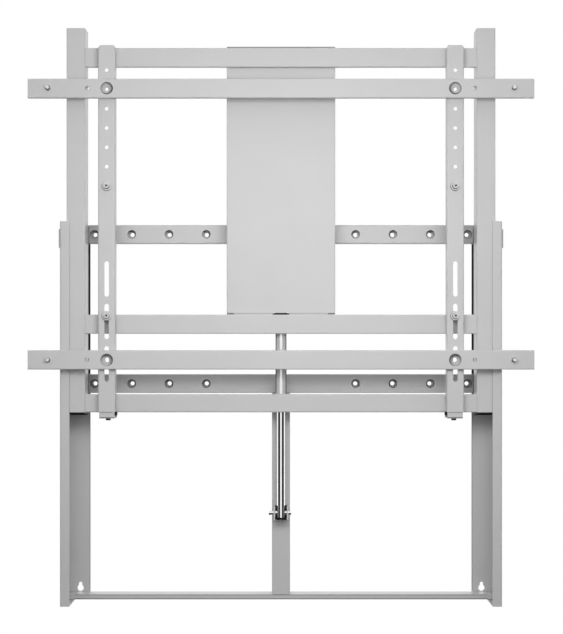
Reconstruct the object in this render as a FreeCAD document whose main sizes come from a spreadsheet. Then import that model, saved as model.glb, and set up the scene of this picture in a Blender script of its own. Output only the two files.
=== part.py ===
import FreeCAD, Part
import math
import os
import Sketcher
from FreeCAD import Vector

# Motorised lift mount for a large flat screen, fixed to a wall.
# X runs left to right as seen from the front, Y runs from the viewer to the wall, Z is up.
# The origin is on the wall plane, at the centre of the pattern of the outermost wall bolts.
# The fixed frame is screwed to the wall. The lift frame slides in its two uprights.
# The model stands where the lift rests, a little above the middle of its stroke.

DIMENSIONS = [
    ("wall_bolt_span", 1000.0, "outermost wall bolts, left to right"),
    ("wall_bolt_rise", 400.0, "upper wall bar to lower wall bar, centre to centre"),
    ("wall_bolt_pitch", 100.0, "one wall bolt to the next along a bar"),
    ("wall_bolts_a_side", 4.0, "wall bolts on each half of a bar"),
    ("wall_bolt_hole", 11.0, "hole for a wall bolt in the rear wall of a bar"),
    ("wall_bolt_access", 23.0, "hole in the front wall of a bar that the bolt head passes"),
    ("wall_bar_height", 50.0, "height of a wall bar"),
    ("wall_bar_depth", 25.0, "depth of a wall bar"),
    ("wall_bar_wall", 2.5, "wall thickness of a wall bar"),
    ("tube_corner", 3.0, "outer corner radius of the square tubes"),
    ("upright_span", 1152.6, "outer face to outer face of the uprights"),
    ("upright_length", 1004.0, "length of an upright"),
    ("upright_foot", 778.0, "foot of the uprights below the origin"),
    ("upright_depth", 120.0, "wall plane to the front face of the lip"),
    ("upright_sheet", 3.0, "sheet thickness of an upright"),
    ("upright_bend", 4.5, "outer bend radius of an upright"),
    ("upright_lip", 25.0, "width of the front lip"),
    ("upright_back", 62.5, "width of the back plate"),
    ("keyhole_inset", 36.0, "keyhole centre from the outer face of the upright"),
    ("keyhole_rise", 38.7, "centre of the keyhole's neck above the foot"),
    ("keyhole_neck", 9.0, "width of the keyhole's neck"),
    ("keyhole_head", 17.0, "diameter of the keyhole's head"),
    ("keyhole_drop", 11.6, "centre of the head below the centre of the neck's top"),
    ("window_drop", 18.5, "top of the glide window below the head of the upright"),
    ("window_height", 49.0, "height of the glide window"),
    ("window_depth", 30.0, "front to back size of the glide window"),
    ("window_front", 103.0, "front edge of the glide window from the wall"),
    ("bottom_bar_rise", 4.0, "bottom bar above the foot of the uprights"),
    ("bottom_bar_height", 14.0, "height of the bottom bar"),
    ("bottom_bar_depth", 40.0, "depth of the bottom bar"),
    ("bottom_bar_sheet", 2.5, "sheet thickness of the bottom bar"),
    ("post_width", 48.0, "width of the centre post"),
    ("post_depth", 40.0, "depth of the centre post"),
    ("post_wall", 2.5, "wall thickness of the centre post"),
    ("lift_rest", 506.0, "foot of the columns above the foot of the uprights at rest"),
    ("lift_down", 260.0, "travel of the lift below its rest place"),
    ("lift_up", 240.0, "travel of the lift above its rest place"),
    ("column_span", 1119.2, "outer face to outer face of the columns"),
    ("column_width", 49.0, "width of a column"),
    ("column_depth", 54.0, "depth of a column"),
    ("column_wall", 2.5, "wall thickness of a column"),
    ("column_length", 1002.3, "length of a column"),
    ("lip_gap", 2.0, "lip of the upright to the front face of the column"),
    ("glide_gap", 0.3, "running gap between a glide and the face that slides on it"),
    ("glide_height", 66.0, "height of a glide"),
    ("glide_cheek", 12.0, "thickness of the cheek behind the column"),
    ("glide_reach", 20.0, "how far the cheek reaches behind the column"),
    ("glide_cap", 5.5, "glide cap proud of the web"),
    ("fit_gap", 0.2, "gap round the glide's boss in its window"),
    ("crossbar_height", 50.0, "height of the upper and middle crossbars"),
    ("lower_crossbar_height", 47.0, "height of the lower crossbar"),
    ("crossbar_depth", 15.0, "depth of a crossbar"),
    ("crossbar_wall", 2.0, "wall thickness of a crossbar"),
    ("upper_crossbar_rise", 950.8, "top of the upper crossbar above the foot of the columns"),
    ("middle_crossbar_rise", 255.0, "top of the middle crossbar above the foot of the columns"),
    ("arm_spacing", 902.8, "centre to centre of the arms"),
    ("arm_width", 45.0, "width of an arm"),
    ("arm_depth", 25.0, "depth of an arm"),
    ("arm_sheet", 2.5, "sheet thickness of an arm"),
    ("arm_bend", 4.0, "outer bend radius of an arm"),
    ("arm_foot_rise", 2.3, "foot of an arm above the foot of the columns"),
    ("arm_head_drop", 0.5, "head of an arm below the top of the upper crossbar"),
    ("arm_head_cut", 4.0, "size of the cut corners at the head of an arm"),
    ("arm_hole", 9.5, "screen screw hole in an arm"),
    ("arm_hole_pitch", 50.0, "one screen screw hole to the next"),
    ("arm_holes", 7.0, "number of screen screw holes in an arm"),
    ("arm_slot_width", 11.5, "width of a slot in an arm"),
    ("arm_slot_run", 80.0, "slot length between its end centres"),
    ("arm_slot_pitch", 110.0, "one slot to the next"),
    ("arm_slots", 3.0, "number of slots in an arm"),
    ("arm_slot_rise", 344.5, "centre of the top slot above the foot of the arm"),
    ("hook_thickness", 2.0, "thickness of the hook over the upper crossbar"),
    ("hook_reach", 20.0, "how far down the hook's tongue reaches behind the crossbar"),
    ("hook_gap", 0.4, "hook's tongue behind the crossbar"),
    ("clamp_drop", 17.3, "clamp plate below the foot of the arm"),
    ("clamp_sheet", 2.5, "sheet thickness of the clamp bracket"),
    ("clamp_height", 60.0, "height of the clamp bracket inside the arm"),
    ("clamp_bend", 4.5, "outer bend radius at the foot of the clamp bracket"),
    ("clamp_run", 56.0, "how far the clamp bracket reaches back under the crossbar"),
    ("clamp_tongue_inset", 7.0, "side of the clamp's tongue in from the side of the bracket"),
    ("clamp_lip", 10.0, "lip of the clamp's tongue above the foot of the crossbar"),
    ("clamp_block_front", 3.0, "clamp block behind the front plate of its bracket"),
    ("clamp_block_inset", 1.0, "side of the clamp block in from the side of the bracket"),
    ("clamp_screw", 8.0, "thread diameter of the clamp screw"),
    ("clamp_screw_head", 13.0, "head diameter of the clamp screw"),
    ("clamp_head_height", 5.8, "head height of the clamp screw"),
    ("rail_length", 1306.0, "length of a screen rail"),
    ("rail_height", 50.0, "height of a screen rail"),
    ("rail_depth", 15.0, "depth of a screen rail"),
    ("rail_wall", 2.0, "wall thickness of a screen rail"),
    ("rail_spacing", 700.0, "upper rail to lower rail, centre to centre"),
    ("rail_rise", 837.5, "centre of the upper rail above the foot of the columns"),
    ("rail_access_span", 898.0, "access holes in a rail, left to right"),
    ("rail_access_hole", 32.0, "diameter of an access hole in the front wall of a rail"),
    ("rail_fixing_hole", 11.5, "hole in the rear wall behind an access hole"),
    ("rail_screen_span", 1000.0, "inner screen holes in a rail, left to right"),
    ("rail_screen_hole", 10.5, "diameter of an inner screen hole"),
    ("stud_span", 1200.0, "screen screws in a rail, left to right"),
    ("screw_diameter", 8.0, "thread diameter of the screen screws"),
    ("stud_stand", 16.0, "screen screw proud of the front face of the rail"),
    ("stud_collar", 14.0, "diameter of the collar on a screen screw"),
    ("stud_collar_height", 4.0, "thickness of the collar on a screen screw"),
    ("screw_head", 13.0, "head diameter of the screen screws"),
    ("screw_head_height", 5.0, "head height of the screen screws"),
    ("arm_screw_head", 14.0, "head diameter of an arm screw"),
    ("arm_screw_head_height", 8.0, "head height of an arm screw"),
    ("arm_screw_socket", 6.0, "width of the hexagon socket in an arm screw"),
    ("arm_socket_depth", 5.0, "depth of the socket in an arm screw"),
    ("arm_screw_run", 16.0, "arm screw from the front of the arm to its end"),
    ("arm_washer", 24.0, "outer diameter of the washer under an arm screw"),
    ("arm_washer_height", 2.0, "thickness of the washer under an arm screw"),
    ("low_screw_rise", 249.5, "lower arm screw above the foot of the arm"),
    ("cover_width", 284.5, "width of the drive cover"),
    ("cover_depth", 68.0, "depth of the drive cover"),
    ("cover_sheet", 1.5, "sheet thickness of the drive cover"),
    ("cover_bend", 2.5, "outer bend radius of the drive cover"),
    ("cover_top_rise", 5.9, "top of the cover above the top of the upper crossbar"),
    ("cover_foot_gap", 5.1, "foot of the cover above the top of the middle crossbar"),
    ("bracket_sheet", 2.0, "sheet thickness of the cover's foot bracket"),
    ("bracket_flange", 35.0, "flange of the foot bracket below the top of the crossbar"),
    ("bracket_notch_gap", 6.5, "notch of the foot bracket beside the outer tube"),
    ("bracket_gap", 2.5, "foot bracket ahead of the centre post when the lift is down"),
    ("drive_depth", 75.0, "axis of the drive from the wall"),
    ("outer_tube", 30.0, "outer diameter of the drive's outer tube"),
    ("outer_tube_bore", 25.0, "bore of the drive's outer tube"),
    ("outer_tube_length", 800.0, "length of the outer tube"),
    ("lift_rod", 21.0, "diameter of the lift rod"),
    ("lift_rod_length", 600.0, "rod pin to the top of the lift rod"),
    ("lift_rod_tail", 12.0, "lift rod below its pin"),
    ("wiper_height", 16.0, "height of the wiper ring in the foot of the outer tube"),
    ("lug_rise", 43.5, "hanger pin above the gearbox"),
    ("gearbox_width", 100.0, "width of the gearbox"),
    ("gearbox_depth", 50.0, "depth of the gearbox"),
    ("gearbox_height", 58.0, "height of the gearbox"),
    ("motor_diameter", 44.0, "diameter of the motor"),
    ("motor_length", 130.0, "length of the motor below the gearbox"),
    ("motor_offset", 46.0, "motor axis from the drive axis"),
    ("hanger_ear", 4.0, "thickness of an ear of the hanger"),
    ("hanger_width", 34.0, "width of the hanger over its ears"),
    ("hanger_height", 44.0, "height of the hanger"),
    ("lug_width", 25.0, "width of the lug on the gearbox"),
    ("pin_rise", 920.0, "hanger pin above the foot of the columns"),
    ("pin_diameter", 10.0, "diameter of the hanger pin and of the rod pin"),
    ("pin_head", 13.0, "diameter of a pin's head"),
    ("pin_head_length", 7.0, "length of a pin's head"),
    ("pin_end", 3.0, "thickness of the hanger pin's head"),
    ("pin_neck_length", 5.5, "rod pin between its cap and the ear"),
    ("rod_pin_rise", 239.3, "rod pin above the foot of the uprights"),
    ("clevis_width", 39.0, "width of the rod clevis over its ears"),
    ("clevis_ear", 4.0, "thickness of an ear of the rod clevis"),
    ("clevis_height", 35.0, "height of the rod clevis"),
    ("clevis_nose", 15.0, "front of the clevis ears ahead of the rod pin"),
    ("controller_width", 80.0, "width of the controller"),
    ("controller_height", 150.0, "height of the controller"),
    ("controller_depth", 38.0, "depth of the controller"),
    ("controller_offset", 88.0, "controller centre left of the drive axis"),
    ("controller_rise", 640.0, "controller centre above the foot of the columns"),
]

doc = FreeCAD.newDocument("screen_lift_mount")
sheet = doc.addObject("Spreadsheet::Sheet", "sizes")
nodes = {}


class Size:
    """A length that keeps its value in millimetres and the sheet formula that gives it."""

    def __init__(self, value, formula):
        self.value = value
        self.formula = formula

    def joined(self, sign, other, value):
        return Size(value, f"({self.formula} {sign} {other.formula})")

    def __add__(self, other):
        other = size(other)
        return self.joined("+", other, self.value + other.value)

    def __sub__(self, other):
        other = size(other)
        return self.joined("-", other, self.value - other.value)

    def __mul__(self, other):
        other = size(other)
        return self.joined("*", other, self.value * other.value)

    def __truediv__(self, other):
        other = size(other)
        return self.joined("/", other, self.value / other.value)

    def __radd__(self, other):
        return size(other) + self

    def __rsub__(self, other):
        return size(other) - self

    def __rmul__(self, other):
        return size(other) * self

    def __neg__(self):
        return size(0) - self


def size(number):
    """Give a plain number the form of a Size; a Size stays as it is."""
    if isinstance(number, Size):
        return number
    return Size(float(number), f"({float(number)})")


class Sizes:
    """The driving dimensions by name, each a Size that points at its cell."""


S = Sizes()
for row, (alias, number, meaning) in enumerate(DIMENSIONS, start=1):
    sheet.set(f"A{row}", alias)
    sheet.set(f"B{row}", str(number))
    sheet.set(f"C{row}", meaning)
    sheet.setAlias(f"B{row}", alias)
    setattr(S, alias, Size(number, f"sizes.{alias}"))
doc.recompute()

ZERO = size(0)
LEFT_AND_RIGHT = (("left", -1), ("right", 1))


# Sketch and feature helpers


def new_body(label):
    body = doc.addObject("PartDesign::Body", label)
    body.Label = label
    nodes[label] = body
    return body


def new_sketch(body, name, role, offset=ZERO):
    """A sketch on one of the body's own origin planes, moved along the plane's normal."""
    sketch = body.newObject("Sketcher::SketchObject", f"{body.Label}_{name}")
    plane = next(f for f in body.Origin.OriginFeatures if f.Role == role)
    sketch.AttachmentSupport = [(plane, "")]
    sketch.MapMode = "FlatFace"
    sketch.setExpression("AttachmentOffset.Base.z", offset.formula)
    return sketch


def fix(sketch, kind, geometry, point, length):
    """Tie one coordinate of a point to a length from the sketch's origin."""
    if length.formula == ZERO.formula:
        axis = -2 if kind == "DistanceX" else -1
        sketch.addConstraint(Sketcher.Constraint("PointOnObject", geometry, point, axis))
        return
    number = sketch.addConstraint(
        Sketcher.Constraint(kind, -1, 1, geometry, point, length.value)
    )
    sketch.setExpression(f"Constraints[{number}]", length.formula)


def fix_radius(sketch, geometry, radius):
    number = sketch.addConstraint(Sketcher.Constraint("Radius", geometry, radius.value))
    sketch.setExpression(f"Constraints[{number}]", radius.formula)


def outline(sketch, corners):
    """A closed outline through corners (x, y) or (x, y, radius), which rounds the corner.
    Its edges run level or upright, or slope between two corners that have no radius."""
    count = len(corners)
    points = [Vector(c[0].value, c[1].value, 0) for c in corners]
    arrive, leave, arcs = [], [], []
    for i, corner in enumerate(corners):
        before = (points[i - 1] - points[i]).normalize()
        after = (points[(i + 1) % count] - points[i]).normalize()
        if len(corner) < 3:
            arrive.append(points[i])
            leave.append(points[i])
            arcs.append(None)
            continue
        radius = corner[2].value
        half = before.getAngle(after) / 2
        cut = radius / math.tan(half)
        arrive.append(points[i] + before * cut)
        leave.append(points[i] + after * cut)
        centre = points[i] + (before + after).normalize() * (radius / math.sin(half))
        turns_left = before.cross(after).z < 0
        first, last = (arrive[i], leave[i]) if turns_left else (leave[i], arrive[i])
        start = math.atan2(first.y - centre.y, first.x - centre.x)
        end = math.atan2(last.y - centre.y, last.x - centre.x)
        if end < start:
            end += 2 * math.pi
        circle = Part.Circle(centre, Vector(0, 0, 1), radius)
        number = sketch.addGeometry(Part.ArcOfCircle(circle, start, end))
        arcs.append((number, 1 if turns_left else 2, 2 if turns_left else 1))
    lines = [
        sketch.addGeometry(Part.LineSegment(leave[i], arrive[(i + 1) % count]))
        for i in range(count)
    ]
    for i, corner in enumerate(corners):
        if arcs[i] is None:
            sketch.addConstraint(
                Sketcher.Constraint("Coincident", lines[i - 1], 2, lines[i], 1)
            )
            continue
        arc, entry, way_out = arcs[i]
        sketch.addConstraint(Sketcher.Constraint("Tangent", lines[i - 1], 2, arc, entry))
        sketch.addConstraint(Sketcher.Constraint("Tangent", arc, way_out, lines[i], 1))
        fix_radius(sketch, arc, corner[2])
    upright, level = [], []
    for i in range(count):
        here, there = corners[i], corners[(i + 1) % count]
        upright.append(here[0].formula == there[0].formula)
        level.append(here[1].formula == there[1].formula)
        if upright[i]:
            sketch.addConstraint(Sketcher.Constraint("Vertical", lines[i]))
            fix(sketch, "DistanceX", lines[i], 1, here[0])
        elif level[i]:
            sketch.addConstraint(Sketcher.Constraint("Horizontal", lines[i]))
            fix(sketch, "DistanceY", lines[i], 1, here[1])
    for i, corner in enumerate(corners):
        if not upright[i - 1] and not upright[i]:
            fix(sketch, "DistanceX", lines[i], 1, corner[0])
        if not level[i - 1] and not level[i]:
            fix(sketch, "DistanceY", lines[i], 1, corner[1])


def rectangle(sketch, left, bottom, right, top, radius=None):
    corners = [(left, bottom), (right, bottom), (right, top), (left, top)]
    if radius is not None:
        corners = [(x, y, radius) for x, y in corners]
    outline(sketch, corners)


def circle(sketch, x, y, diameter):
    middle = Vector(x.value, y.value, 0)
    number = sketch.addGeometry(
        Part.Circle(middle, Vector(0, 0, 1), diameter.value / 2)
    )
    fix(sketch, "DistanceX", number, 3, x)
    fix(sketch, "DistanceY", number, 3, y)
    fix_radius(sketch, number, diameter / 2)


def upright_slot(sketch, x, low, high, width):
    """A slot along the sketch's Y axis between the centres of its two round ends."""
    radius = width / 2
    half_turn = math.pi
    ends = []
    for y, start in ((high, 0), (low, half_turn)):
        ring = Part.Circle(
            Vector(x.value, y.value, 0), Vector(0, 0, 1), radius.value
        )
        ends.append(
            sketch.addGeometry(Part.ArcOfCircle(ring, start, start + half_turn))
        )
    top, foot = ends
    sides = []
    for sign in (-1, 1):
        edge = x.value + sign * radius.value
        first = Vector(edge, high.value if sign < 0 else low.value, 0)
        last = Vector(edge, low.value if sign < 0 else high.value, 0)
        sides.append(sketch.addGeometry(Part.LineSegment(first, last)))
    chain = [(top, 2, sides[0], 1), (sides[0], 2, foot, 1)]
    chain += [(foot, 2, sides[1], 1), (sides[1], 2, top, 1)]
    for first, first_end, second, second_end in chain:
        sketch.addConstraint(
            Sketcher.Constraint("Tangent", first, first_end, second, second_end)
        )
    sketch.addConstraint(Sketcher.Constraint("Equal", top, foot))
    fix(sketch, "DistanceX", top, 3, x)
    fix(sketch, "DistanceY", top, 3, high)
    fix(sketch, "DistanceX", foot, 3, x)
    fix(sketch, "DistanceY", foot, 3, low)
    fix_radius(sketch, top, radius)


def pad(body, sketch, length, reverse=False):
    feature = body.newObject("PartDesign::Pad", f"{sketch.Label}_pad")
    feature.Profile = sketch
    feature.Reversed = reverse
    feature.setExpression("Length", length.formula)
    body.Tip = feature
    return feature


def pocket(body, sketch, depth, reverse=False):
    """Cut from the sketch's plane against its normal, or along it when reversed."""
    feature = body.newObject("PartDesign::Pocket", f"{sketch.Label}_pocket")
    feature.Profile = sketch
    feature.Reversed = reverse
    feature.setExpression("Length", depth.formula)
    body.Tip = feature
    return feature


def revolve(body, sketch, axis):
    feature = body.newObject("PartDesign::Revolution", f"{sketch.Label}_turn")
    feature.Profile = sketch
    feature.ReferenceAxis = (sketch, [axis])
    feature.Angle = 360
    body.Tip = feature
    return feature


def row_of(body, cuts, axis_role, span, count):
    """Repeat cuts along one of the body's axes, over a span from the first to the last."""
    pattern = body.newObject("PartDesign::LinearPattern", f"{cuts[0].Label}_row")
    axis = next(f for f in body.Origin.OriginFeatures if f.Role == axis_role)
    pattern.Originals = cuts
    pattern.Direction = (axis, [""])
    pattern.setExpression("Length", span.formula)
    pattern.setExpression("Occurrences", count.formula)
    body.Tip = pattern
    return pattern


def hexagon(sketch, x, y, flats):
    """A hexagon with two upright sides, tied to its width across flats."""
    corner = size(1 / math.sqrt(3)) * flats
    half = flats / 2
    outline(
        sketch,
        [
            (x + half, y - corner / 2),
            (x + half, y + corner / 2),
            (x, y + corner),
            (x - half, y + corner / 2),
            (x - half, y - corner / 2),
            (x, y - corner),
        ],
    )


def place(body, x=ZERO, y=ZERO, z=ZERO):
    for letter, length in (("x", x), ("y", y), ("z", z)):
        if length.formula != ZERO.formula:
            body.setExpression(f".Placement.Base.{letter}", length.formula)


def group(label, bodies):
    """One node that holds several separate pieces of the same kind."""
    for body in bodies:
        nodes.pop(body.Label)
    joined = doc.addObject("Part::Compound", label)
    joined.Label = label
    joined.Links = bodies
    nodes[label] = joined
    return joined


# Places that several pieces share, all from the sheet

foot_z = -S.upright_foot
lift_z = foot_z + S.lift_rest
column_front = S.upright_depth - S.upright_sheet - S.lip_gap
column_back = column_front - S.column_depth
column_inner = S.column_span / 2 - S.column_width
crossbar_back = column_front - S.crossbar_depth
arm_front = column_front + S.arm_depth
rail_front = arm_front + S.rail_depth
web_inner = S.upright_span / 2 - S.upright_sheet
plate_inner = S.upright_span / 2 - S.upright_back
upper_crossbar_top = lift_z + S.upper_crossbar_rise
middle_crossbar_top = lift_z + S.middle_crossbar_rise
lower_crossbar_top = lift_z + S.lower_crossbar_height
bottom_bar_top = foot_z + S.bottom_bar_rise + S.bottom_bar_height
arm_foot = lift_z + S.arm_foot_rise
arm_head = upper_crossbar_top - S.arm_head_drop
arm_x = S.arm_spacing / 2
upper_rail_z = lift_z + S.rail_rise
window_top = foot_z + S.upright_length - S.window_drop
window_foot = window_top - S.window_height
post_back = -S.upright_bend
post_front = post_back - S.post_depth
rod_pin_z = foot_z + S.rod_pin_rise
hanger_pin_z = lift_z + S.pin_rise
gearbox_foot = hanger_pin_z - S.lug_rise - S.gearbox_height
outer_tube_foot = gearbox_foot - S.outer_tube_length


# Fixed frame


def upright(name, side):
    """A folded upright: front lip, web, back plate and a narrow foot plate."""
    body = new_body(f"upright_{name}")
    outer = side * (S.upright_span / 2)
    inner = side * web_inner
    sheet_size, bend = S.upright_sheet, S.upright_bend
    inner_bend = bend - sheet_size
    lip_edge = side * (S.upright_span / 2 - S.upright_lip)
    plate_edge = side * plate_inner
    profile = new_sketch(body, "profile", "XY_Plane", foot_z)
    outline(
        profile,
        [
            (lip_edge, -S.upright_depth),
            (outer, -S.upright_depth, bend),
            (outer, ZERO, bend),
            (plate_edge, ZERO),
            (plate_edge, -sheet_size),
            (inner, -sheet_size, inner_bend),
            (inner, sheet_size - S.upright_depth, inner_bend),
            (lip_edge, sheet_size - S.upright_depth),
        ],
    )
    pad(body, profile, S.upright_length)
    foot = new_sketch(body, "foot_plate", "XY_Plane", foot_z)
    rectangle(foot, inner, sheet_size - S.upright_depth, lip_edge, -sheet_size)
    pad(body, foot, sheet_size)
    keyhole_x = side * (S.upright_span / 2 - S.keyhole_inset)
    neck_z = foot_z + S.keyhole_rise
    neck = new_sketch(body, "keyhole_neck", "XZ_Plane")
    upright_slot(neck, keyhole_x, neck_z - S.keyhole_drop, neck_z, S.keyhole_neck)
    pocket(body, neck, sheet_size, reverse=True)
    head = new_sketch(body, "keyhole_head", "XZ_Plane")
    circle(head, keyhole_x, neck_z - S.keyhole_drop, S.keyhole_head)
    pocket(body, head, sheet_size, reverse=True)
    window = new_sketch(body, "window", "YZ_Plane", inner)
    rectangle(
        window,
        -S.window_front,
        window_foot,
        S.window_depth - S.window_front,
        window_top,
    )
    pocket(body, window, sheet_size, reverse=side > 0)
    return body


def wall_bar(name, centre_z):
    """A level tube between the back plates, drilled for wall bolts whose heads sit inside."""
    body = new_body(f"wall_bar_{name}")
    half = S.wall_bar_height / 2
    wall, corner = S.wall_bar_wall, S.tube_corner
    profile = new_sketch(body, "profile", "YZ_Plane", -plate_inner)
    rectangle(profile, -S.wall_bar_depth, centre_z - half, ZERO, centre_z + half, corner)
    rectangle(
        profile,
        wall - S.wall_bar_depth,
        centre_z - half + wall,
        -wall,
        centre_z + half - wall,
    )
    pad(body, profile, 2 * plate_inner)
    run = S.wall_bolt_pitch * (S.wall_bolts_a_side - 1)
    for side_name, first in (
        ("left", -S.wall_bolt_span / 2),
        ("right", S.wall_bolt_span / 2 - run),
    ):
        front = new_sketch(body, f"{side_name}_access", "XZ_Plane", S.wall_bar_depth)
        circle(front, first, centre_z, S.wall_bolt_access)
        access = pocket(body, front, wall)
        rear = new_sketch(body, f"{side_name}_bolt", "XZ_Plane", ZERO)
        circle(rear, first, centre_z, S.wall_bolt_hole)
        bolt = pocket(body, rear, wall, reverse=True)
        row_of(body, [access, bolt], "X_Axis", run, S.wall_bolts_a_side)
    return body


def bottom_bar():
    """A shallow inverted channel that ties the feet of the uprights together."""
    body = new_body("bottom_bar")
    back = post_back
    front = back - S.bottom_bar_depth
    foot = bottom_bar_top - S.bottom_bar_height
    wall = S.bottom_bar_sheet
    bend = wall + 1
    profile = new_sketch(body, "profile", "YZ_Plane", -web_inner)
    outline(
        profile,
        [
            (front, foot),
            (front + wall, foot),
            (front + wall, bottom_bar_top - wall, bend - wall),
            (back - wall, bottom_bar_top - wall, bend - wall),
            (back - wall, foot),
            (back, foot),
            (back, bottom_bar_top, bend),
            (front, bottom_bar_top, bend),
        ],
    )
    pad(body, profile, 2 * web_inner)
    return body


def centre_post():
    """A square tube that stands on the bottom bar and carries the foot of the drive."""
    body = new_body("centre_post")
    half = S.post_width / 2
    front, back = post_front, post_back
    wall, corner = S.post_wall, S.tube_corner
    top = -S.wall_bolt_rise / 2 - S.wall_bar_height / 2
    profile = new_sketch(body, "profile", "XY_Plane", bottom_bar_top)
    rectangle(profile, -half, front, half, back, corner)
    rectangle(profile, wall - half, front + wall, half - wall, back - wall)
    pad(body, profile, top - bottom_bar_top)
    return body


def rod_clevis():
    """A channel on the post whose two ears hold the pin of the lift rod."""
    body = new_body("rod_clevis")
    half = S.clevis_width / 2
    ear = S.clevis_ear
    back = post_front
    front = -S.drive_depth - S.clevis_nose
    profile = new_sketch(body, "profile", "XY_Plane", rod_pin_z - S.clevis_height / 2)
    outline(
        profile,
        [
            (-half, front),
            (ear - half, front),
            (ear - half, back - ear),
            (half - ear, back - ear),
            (half - ear, front),
            (half, front),
            (half, back, ear),
            (-half, back, ear),
        ],
    )
    pad(body, profile, S.clevis_height)
    bore = new_sketch(body, "bore", "YZ_Plane", half)
    circle(bore, -S.drive_depth, rod_pin_z, S.pin_diameter)
    pocket(body, bore, S.clevis_width)
    return body


def turned(label, x, y, z, steps, direction):
    """A turned piece along X, Y or Z through a point: steps are (place, radius) pairs that
    give each stretch's end and its radius, measured along the axis from the point."""
    body = new_body(label)
    role = {"X": "XY_Plane", "Y": "YZ_Plane", "Z": "XZ_Plane"}[direction]
    profile = new_sketch(body, "profile", role)
    corners = [(steps[0][0], ZERO)]
    for (start, _), (end, radius) in zip(steps, steps[1:]):
        corners += [(start, radius), (end, radius)]
    corners.append((steps[-1][0], ZERO))
    if direction == "Z":
        corners = [(radius, along) for along, radius in corners]
    outline(profile, corners)
    revolve(body, profile, "V_Axis" if direction == "Z" else "H_Axis")
    place(body, x, y, z)
    return body


def lift_rod():
    """The polished rod that pushes against the post; its foot is bored for the pin."""
    radius = S.lift_rod / 2
    body = turned(
        "lift_rod",
        ZERO,
        -S.drive_depth,
        rod_pin_z,
        [(-S.lift_rod_tail, radius), (S.lift_rod_length, radius)],
        "Z",
    )
    bore = new_sketch(body, "bore", "YZ_Plane", radius)
    circle(bore, ZERO, ZERO, S.pin_diameter)
    pocket(body, bore, S.lift_rod)
    return body


def rod_pin():
    """The pin through clevis and rod: its head on the right, its cap on the left."""
    half = S.clevis_width / 2
    pin, head = S.pin_diameter / 2, S.pin_head / 2
    neck_end = -half - S.pin_neck_length
    return turned(
        "rod_pin",
        ZERO,
        -S.drive_depth,
        rod_pin_z,
        [
            (neck_end - S.pin_head_length, head),
            (neck_end, head),
            (half, pin),
            (half + S.pin_head_length, head),
        ],
        "X",
    )


def upper_glide(name, side):
    """A plastic glide in the head of an upright. It backs the column's outer and rear faces,
    and its boss fills the window in the web under a cap that shows outside."""
    body = new_body(f"upper_glide_{name}")
    face = side * (S.column_span / 2 + S.glide_gap)
    outer = side * web_inner
    front = S.upright_bend - S.upright_depth
    cheek_front = -column_back + S.glide_gap
    cheek_back = cheek_front + S.glide_cheek
    reach = side * (S.column_span / 2 - S.glide_reach)
    low = window_top - S.window_height / 2 - S.glide_height / 2
    profile = new_sketch(body, "profile", "XY_Plane", low)
    outline(
        profile,
        [
            (outer, front),
            (outer, cheek_back),
            (reach, cheek_back),
            (reach, cheek_front),
            (face, cheek_front),
            (face, front),
        ],
    )
    pad(body, profile, S.glide_height)
    boss = new_sketch(body, "boss", "YZ_Plane", outer)
    gap = S.fit_gap
    rectangle(
        boss,
        gap - S.window_front,
        window_foot + gap,
        S.window_depth - S.window_front - gap,
        window_top - gap,
        size(2),
    )
    pad(body, boss, S.upright_sheet + S.glide_cap, reverse=side < 0)
    return body


# Lift frame


def column(name, side):
    """A square tube that slides in its upright."""
    body = new_body(f"column_{name}")
    outer = side * (S.column_span / 2)
    inner = side * column_inner
    wall, corner = S.column_wall, S.tube_corner
    profile = new_sketch(body, "profile", "XY_Plane", lift_z)
    rectangle(profile, inner, -column_front, outer, -column_back, corner)
    rectangle(
        profile,
        inner + side * wall,
        wall - column_front,
        outer - side * wall,
        -column_back - wall,
    )
    pad(body, profile, S.column_length)
    return body


def lower_glide(name, side):
    """A plastic shoe on the column's foot that runs on the inside of the web."""
    body = new_body(f"lower_glide_{name}")
    profile = new_sketch(body, "profile", "XY_Plane", lift_z)
    rectangle(
        profile,
        side * (S.column_span / 2),
        S.tube_corner - column_front,
        side * (web_inner - S.glide_gap),
        -column_back - S.tube_corner,
    )
    pad(body, profile, S.glide_height)
    return body


def crossbar(name, top, height):
    """A flat tube welded between the columns, level with their front faces."""
    body = new_body(f"crossbar_{name}")
    wall, corner = S.crossbar_wall, S.tube_corner
    profile = new_sketch(body, "profile", "YZ_Plane", -column_inner)
    rectangle(profile, -column_front, top - height, -crossbar_back, top, corner)
    rectangle(
        profile,
        wall - column_front,
        top - height + wall,
        -crossbar_back - wall,
        top - wall,
    )
    pad(body, profile, 2 * column_inner)
    return body


def drive_cover():
    """A folded cover over the drive: front, two sides and a top, open at the back."""
    body = new_body("drive_cover")
    half = S.cover_width / 2
    front = -crossbar_back
    back = front + S.cover_depth
    wall, bend = S.cover_sheet, S.cover_bend
    foot = middle_crossbar_top + S.cover_foot_gap
    top = upper_crossbar_top + S.cover_top_rise
    profile = new_sketch(body, "profile", "XY_Plane", foot)
    outline(
        profile,
        [
            (-half, back),
            (-half, front, bend),
            (half, front, bend),
            (half, back),
            (half - wall, back),
            (half - wall, front + wall, bend - wall),
            (wall - half, front + wall, bend - wall),
            (wall - half, back),
        ],
    )
    pad(body, profile, top - foot)
    lid = new_sketch(body, "lid", "XY_Plane", top - wall)
    rectangle(lid, wall - half, front + wall, half - wall, back)
    pad(body, lid, wall)
    return body


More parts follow.
